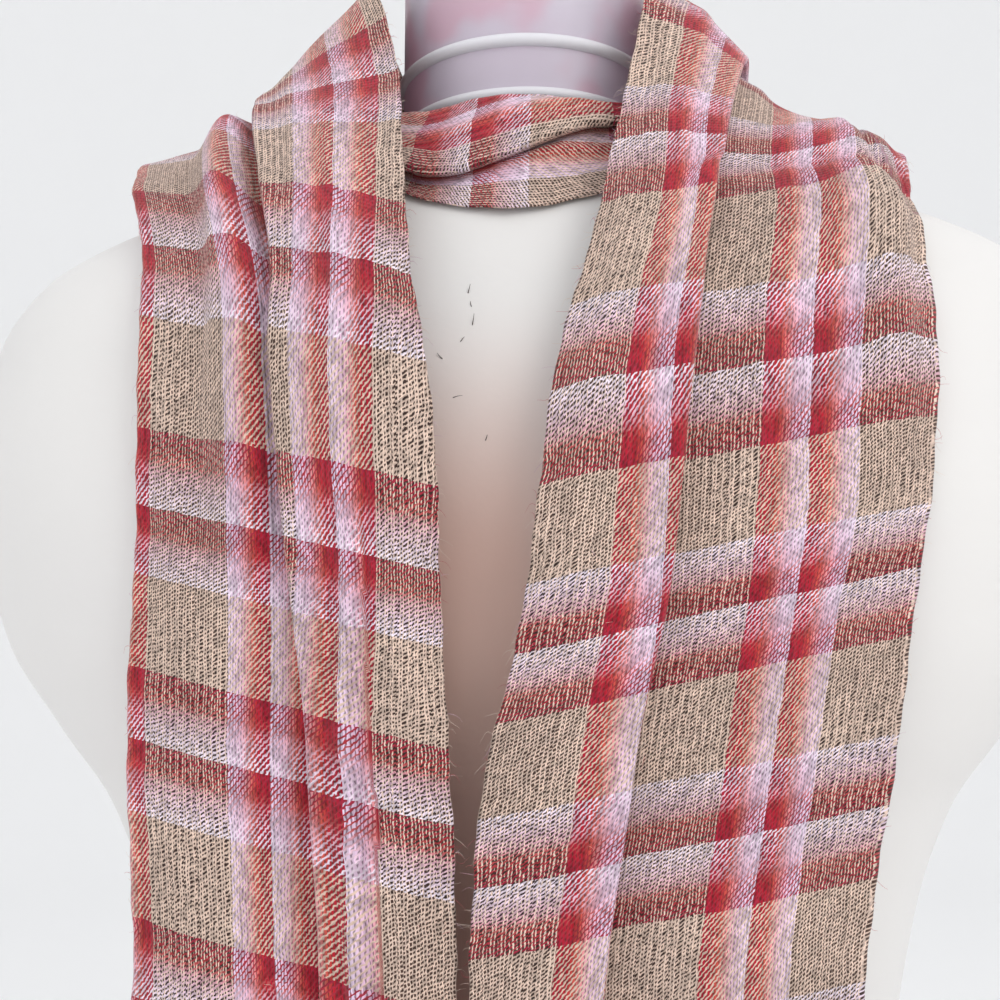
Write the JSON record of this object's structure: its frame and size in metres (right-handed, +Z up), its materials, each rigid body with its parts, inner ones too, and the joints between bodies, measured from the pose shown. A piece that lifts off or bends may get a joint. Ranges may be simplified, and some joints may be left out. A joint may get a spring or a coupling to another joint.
{
  "type": "plaid scarf on dress form",
  "caption": "Loosely woven plaid scarf wound round the neck of a limbless dress form, its ends hanging down the chest.",
  "frame": {"origin": "middle of the dress form's flat underside, below the neck", "axes": "+Z up along the neck, -Y out of the chest towards the viewer, +X to the viewer's right"},
  "size_m": [0.49, 0.2712, 0.728],
  "materials": {
    "cloth": "matte",
    "form": "satin",
    "neck": "gloss"
  },
  "bodies": {
    "root": {"form_torso": "form", "form_neck": "neck", "scarf_front_loop": "cloth", "scarf_back_stretch": "cloth", "scarf_left_tail": "cloth", "scarf_right_tail": "cloth"}
  },
  "joints": []
}
